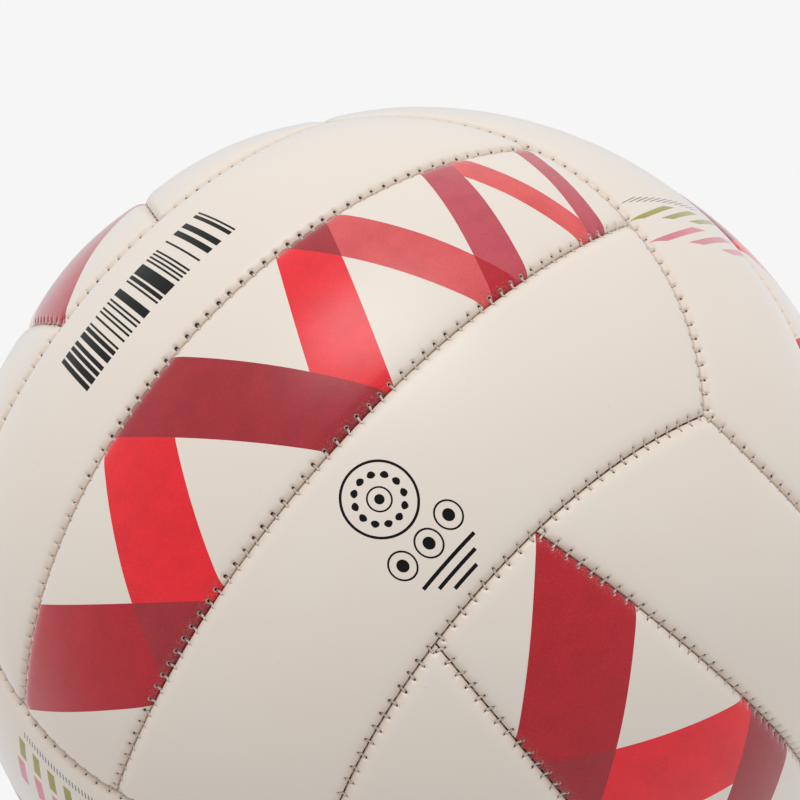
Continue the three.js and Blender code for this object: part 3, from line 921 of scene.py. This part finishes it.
plain_leather = leather("plain_leather")
ribbon_leather = leather("ribbon_leather", zigzag_ribbon, 0.035, 0.5)
lining_cloth = weave("lining_cloth", linear(214, 206, 190), linear(176, 166, 148), 0.5)
patch_cloth = weave("patch_cloth", linear(196, 188, 168), linear(150, 142, 122), 0.4)
thread_finish = twisted_thread()
bladder_rubber = rubber("bladder_rubber", linear(38, 37, 38), linear(58, 56, 56), 0.5)
valve_rubber = rubber("valve_rubber", linear(30, 29, 30), linear(48, 46, 46), 0.42)
plug_rubber = rubber("plug_rubber", linear(62, 58, 54), linear(84, 79, 73), 0.5)

PRINTS = {
    "top_a": leather("bars_leather", bars, 0.008, 0.0),
    "top_b": leather("roundel_leather", roundel, 0.008, 0.0),
    "right_a": leather("right_leather", dashes(RIGHT_DASHES), 0.02),
    "left_b": leather("left_leather", dashes(LEFT_DASHES), 0.02),
}
# Groups whose ribbon starts from the other end
TURNED_RIBBONS = ("front", "back", "right", "left")


# Covers and linings

def pattern_place(points, sign):
    """Millimetres along and across the strip, from its middle line."""
    away = unit(points)
    across = np.arcsin(away[:, 1])
    along = np.arctan2(away[:, 0], away[:, 2])
    return np.stack([along, across, 0 * along], -1) * sign * CROWN_RADIUS


panels = (*USUAL_PANELS.values(), *TOP_PANELS.values())
covers = {panel: cover_mesh(panel) for panel in panels}
linings = {side: lining_mesh(panel) for side, panel in USUAL_PANELS.items()}

for group, side, panel, turn in placed_panels():
    cover, lining = covers[panel], linings[side]
    if group == VALVE_GROUP and side == "middle":
        cover, lining = cover_mesh(panel, VALVE_CIRCLES), lining_mesh(panel, VALVE_CIRCLES)
    name = f"{group}_{side}"
    points, triangles, values = cover
    sign = -1 if side == "middle" and group in TURNED_RIBBONS else 1
    values = {**values, "place": pattern_place(points, sign)}
    material = PRINTS.get(name, ribbon_leather if side == "middle" else plain_leather)
    node = f"cover_{name}"
    add_piece(f"panel_{name}", points @ turn.T, triangles, material, [node], values)
    points, triangles = lining
    node = f"lining_{name}"
    add_piece(f"backing_{name}", points @ turn.T, triangles, lining_cloth, [node])


# Thread

# Shares of the way from the seam to the needle hole, over the cover's edge and in the hole
OVER_EDGE = (0.2, 0.5, 0.8)
IN_HOLE = (0.92, 0.98)


def half_stitches(panel, edge):
    """Each stitch's place on a seam, and its path from there over the edge and down its hole."""
    shares = np.array(OVER_EDGE + IN_HOLE)
    insets = edge.hole_inset[:, None] * shares
    arcs = edge.centres[:, None] + edge.slant[:, None] * shares
    away = edge.place(arcs, insets)
    flat = away.reshape(-1, 3)
    radius = panel.stitched_face(flat)[0].reshape(insets.shape) + THREAD_LIFT
    smooth = panel.smooth_radius(flat).reshape(insets.shape)
    radius[:, -2] = smooth[:, -2] - NOTCH_DEPTH - THREAD_DROP
    radius[:, -1] = smooth[:, -1] - COVER_THICKNESS
    return edge.at(edge.centres), away * radius[..., None]


def tube(path, radius, sides):
    """A closed round tube along a path, with how far along and round it each point is."""
    ahead = unit(np.gradient(path, axis=0))
    side = unit(np.cross(ahead[0], [0.3, 0.5, 0.81]))
    normals = []
    for tangent in ahead:
        side = unit(side - tangent * (side @ tangent))
        normals.append(side)
    normals = np.array(normals)
    binormals = np.cross(ahead, normals)
    turn = 2 * np.pi * np.arange(sides) / sides
    rim = np.cos(turn)[:, None] * normals[:, None] + np.sin(turn)[:, None] * binormals[:, None]
    points = (path[:, None] + radius * rim).reshape(-1, 3)
    rows = len(path)
    length = np.concatenate([[0], np.cumsum(np.linalg.norm(np.diff(path, axis=0), axis=1))])
    place = np.stack([np.repeat(length, sides), np.tile(turn, rows), np.zeros(rows * sides)], -1)
    rims = np.arange(rows * sides).reshape(rows, sides)
    triangles = [band(after, before) for before, after in zip(rims, rims[1:])]
    cap = np.array([[0, k + 1, k] for k in range(1, sides - 1)])
    triangles += [cap, (rows - 1) * sides + cap[:, ::-1]]
    return points, np.concatenate(triangles), place


def seam_tube(first, second):
    """The thread of one seam, from the half stitches on its two sides, in the same order."""
    path = []
    for near, far in zip(first, second):
        middle = (near[0] + far[0]) / 2
        middle = middle * (1 - THREAD_DIP / np.linalg.norm(middle))
        path += [*near[::-1], middle, *far]
    return tube(np.array(path), THREAD_RADIUS, THREAD_SIDES)


def add_stitching(name, tubes):
    """The thread of one CAD node, from the tube along each of its seams."""
    points, triangles, places = zip(*tubes)
    starts = np.cumsum([0, *map(len, points[:-1])])
    triangles = np.concatenate([each + start for each, start in zip(triangles, starts)])
    points = np.concatenate(points)
    node = f"thread_{name}"
    values = {"place": np.concatenate(places)}
    add_piece(f"stitching_{name}", points, triangles, thread_finish, [node], values)


# Every stretch of seam round every placed panel, to be matched with the one across the seam
stretches = []
for group, side, panel, turn in placed_panels():
    for number, edge in enumerate(panel.edges):
        spots, paths = half_stitches(panel, edge)
        stretches.append((f"{group}_{side}", number, spots @ turn.T, paths @ turn.T))

all_spots = np.concatenate([stretch[2] for stretch in stretches])
all_paths = np.concatenate([stretch[3] for stretch in stretches])
owners = np.repeat(np.arange(len(stretches)), [len(stretch[2]) for stretch in stretches])

# The corners whose three seams have one strand each
THREAD_CORNERS = {
    "corner_back_right": (1, 1, 1),
    "corner_front_right": (1, -1, -1),
    "corner_back_left": (-1, 1, -1),
    "corner_front_left": (-1, -1, 1),
}
corner_tubes = {name: [] for name in THREAD_CORNERS}
for k, (name, number, spots, paths) in enumerate(stretches):
    # Every seam is a long edge of one outer strip, and its thread is made from there
    if name.endswith("middle") or number not in (0, 2):
        continue
    others = np.flatnonzero(owners != k)
    partners = [others[np.linalg.norm(all_spots[others] - spot, axis=1).argmin()] for spot in spots]
    seam = seam_tube(paths, all_paths[partners])
    if number == 0:
        add_stitching(name, [seam])
        continue
    ends = spots[[0, -1]]
    nearness = {corner: (ends @ place).max() for corner, place in THREAD_CORNERS.items()}
    corner_tubes[max(nearness, key=nearness.get)].append(seam)
for name, tubes in corner_tubes.items():
    add_stitching(name, tubes)


# Bladder and valve, turned about the valve's axis, which is +Y

def lathe(profile, segments):
    """A ring-shaped solid from a closed profile of (radius, height), outside on its right."""
    radius, height = np.array(profile, float).T[:, :, None]
    turn = 2 * np.pi * np.arange(segments) / segments
    points = np.stack([radius * np.sin(turn), height + 0 * turn, radius * np.cos(turn)], -1)
    points = points.reshape(-1, 3)
    loops = np.arange(len(points)).reshape(-1, segments)
    triangles = [band(loop, after) for loop, after in zip(loops, np.roll(loops, -1, axis=0))]
    used, triangles = welded(points, np.concatenate(triangles))
    return points[used], triangles


BLADDER_STEPS = 72
SHARP_ANGLE = np.radians(40)
GROOVE = (2.75, 2.9, 3.1, 3.25)  # radii of the groove round the needle hole, on the valve's face
GROOVE_DEPTH = 0.12
NEAR_RADII = (6.0, 8.0, 10.0)  # between the neck and the flange's edge
FAR_RADII = (14.0, 16.0)  # between the flange and the patch's edge

neck = VALVE_NECK_DIAMETER / 2
flange = VALVE_FLANGE_DIAMETER / 2
sag = TURN_IN_RADIUS * (1 - np.cos(STRIP_END_ANGLE / 8))
bladder_radius = TURN_IN_RADIUS - sag - CLEARANCE
bladder_inside = bladder_radius - BLADDER_WALL
face_height = CROWN_RADIUS - VALVE_RECESS
groove_height = face_height - GROOVE_DEPTH
spigot_height = bladder_inside - VALVE_SPIGOT_LENGTH
plug_top = face_height - PLUG_RECESS
plug_bottom = spigot_height + PLUG_RECESS
bulb_height = (plug_top + plug_bottom) / 2
flange_height = bladder_radius + CLEARANCE


def arc_profile(radius):
    """From the axis, on the far side, to the opening for the valve."""
    opening = np.pi - np.arcsin(VALVE_HOLE / radius)
    angle = opening * np.arange(BLADDER_STEPS + 1) / BLADDER_STEPS
    return [(radius * np.sin(a), -radius * np.cos(a)) for a in angle]


def over_flange(from_axis, lift=0.0):
    return [(r, np.sqrt(flange_height**2 - r**2) + lift) for r in from_axis]


def add_turned(name, profile, segments, material, node):
    points, triangles = lathe(profile, segments)
    piece = add_piece(name, points, triangles, material, [node])
    piece.data.set_sharp_from_angle(angle=SHARP_ANGLE)


bladder_profile = arc_profile(bladder_inside) + arc_profile(bladder_radius)[::-1]
add_turned("air_bladder", bladder_profile, 96, bladder_rubber, "bladder")

bore = PLUG_DIAMETER / 2 + CLEARANCE
bulb_bore = PLUG_BULB_DIAMETER / 2 + CLEARANCE
bulb_reach = PLUG_BULB_LENGTH / 2 + CLEARANCE
# Closed profiles of (radius, height), with short slopes at their corners
housing_profile = [
    (bore, spigot_height),
    (bore, bulb_height - bulb_reach),
    (bulb_bore, bulb_height),
    (bore, bulb_height + bulb_reach),
    (bore, face_height - 0.3),
    (bore + 0.08, face_height - 0.1),
    (bore + 0.28, face_height),
    *zip(GROOVE, (face_height, groove_height, groove_height, face_height)),
    (neck - 0.4, face_height),
    (neck - 0.12, face_height - 0.1),
    (neck, face_height - 0.35),
    *over_flange([neck, *NEAR_RADII, flange - 0.3], VALVE_FLANGE_THICKNESS),
    *over_flange([flange], VALVE_FLANGE_THICKNESS - 0.3),
    *over_flange([flange, *NEAR_RADII[1::-1], neck]),
    (neck, spigot_height + 0.3),
    (neck - 0.3, spigot_height),
]
add_turned("valve_body", housing_profile, 64, valve_rubber, "valve_housing")

needle = NEEDLE_HOLE_DIAMETER / 2
body = PLUG_DIAMETER / 2
bulb = PLUG_BULB_DIAMETER / 2
bulb_reach = PLUG_BULB_LENGTH / 2
plug_profile = [
    (needle, plug_bottom),
    (needle, plug_top - 0.35),
    (needle + 0.15, plug_top - 0.1),
    (needle + 0.4, plug_top),
    (body - 0.2, plug_top),
    (body, plug_top - 0.2),
    (body, bulb_height + bulb_reach),
    (bulb, bulb_height + 0.3),
    (bulb, bulb_height - 0.3),
    (body, bulb_height - bulb_reach),
    (body, plug_bottom + 0.2),
    (body - 0.2, plug_bottom),
]
add_turned("valve_core", plug_profile, 48, plug_rubber, "valve_plug")

step = flange + CLEARANCE
step_outside = step + PATCH_THICKNESS
rim = PATCH_DIAMETER / 2
patch_top = VALVE_FLANGE_THICKNESS + CLEARANCE + PATCH_THICKNESS
patch_profile = [
    *over_flange([VALVE_HOLE, *NEAR_RADII, step], patch_top),
    *over_flange([step_outside], patch_top - 0.25),
    *over_flange([step_outside, *FAR_RADII, rim], PATCH_THICKNESS),
    *over_flange([rim, *FAR_RADII[::-1], step]),
    *over_flange([step, *NEAR_RADII[::-1], VALVE_HOLE], patch_top - PATCH_THICKNESS),
]
add_turned("cloth_washer", patch_profile, 96, patch_cloth, "valve_patch")


# Floor, lights and camera

BACKGROUND = linear(249, 249, 249)
FLOOR_HALF = 12.0
FLOOR_GLOW = 0.8  # how much of what is seen of the floor is plain background
WORLD_LEVEL = 0.57
SEEN_WORLD_LEVEL = 0.93
KEY_LEVEL = 0.44
KEY_SPREAD = np.radians(30)
TOWARDS_KEY = (-0.14, 0.86, 0.49)  # along the camera's axes: above the ball in its view
# The camera's axes in the ball's frame: to the right, up, and back towards the camera
CAMERA_AXES = np.array([
    (0.669107, -0.671241, -0.318954),
    (0.737564, 0.547195, 0.395699),
    (-0.091079, -0.500014, 0.861215),
])
CAMERA_PLACE = (-0.059452, -0.442792, 0.817728)
LENS = 185.57  # millimetres
SENSOR_WIDTH = 36

floor_shader = Shader("floor_paint")
floor_shader.set(Base_Color=linear(243, 243, 243), Roughness=0.9, Specular_IOR_Level=0.1)
glow = floor_shader.add("Emission", {"Color": BACKGROUND, "Strength": 1.0})
share = floor_shader.times(floor_shader.seen(), FLOOR_GLOW)
surfaces = {0: share, 1: floor_shader.surface.outputs[0], 2: glow.outputs[0]}
blend = floor_shader.add("MixShader", surfaces)
output = floor_shader.tree.nodes["Material Output"]
floor_shader.feed(output.inputs["Surface"], blend.outputs[0])

floor_mesh = bpy.data.meshes.new("floor")
signs = ((-1, -1), (1, -1), (1, 1), (-1, 1))
floor_height = -CROWN_RADIUS * METRES
corners = [(x * FLOOR_HALF, y * FLOOR_HALF, floor_height) for x, y in signs]
floor_mesh.from_pydata(corners, [], [(0, 1, 2, 3)])
floor_mesh.materials.append(floor_shader.material)
floor = add_object("floor", floor_mesh)

world = bpy.data.worlds.new("studio")
world.use_nodes = True
bpy.context.scene.world = world
studio = Nodes(world.node_tree)
background = world.node_tree.nodes["Background"]
background.inputs["Color"].default_value = (1.0, 1.0, 1.0, 1.0)
level = studio.between(studio.seen(), WORLD_LEVEL, SEEN_WORLD_LEVEL)
studio.feed(background.inputs["Strength"], level)

camera_data = bpy.data.cameras.new("camera")
camera_data.lens = LENS
camera_data.sensor_width = SENSOR_WIDTH
camera = add_object("camera", camera_data)
turned = Matrix(CAMERA_AXES.T.tolist()).to_4x4()
camera.matrix_world = Matrix.Translation(CAMERA_PLACE) @ turned
bpy.context.scene.camera = camera

key_data = bpy.data.lights.new("key", "SUN")
key_data.energy = KEY_LEVEL * np.pi
key_data.angle = KEY_SPREAD
key = add_object("key", key_data)
towards_key = Vector(CAMERA_AXES.T @ unit(np.array(TOWARDS_KEY)))
key.rotation_euler = towards_key.to_track_quat("Z", "Y").to_euler()

bpy.context.scene.view_settings.view_transform = "Standard"
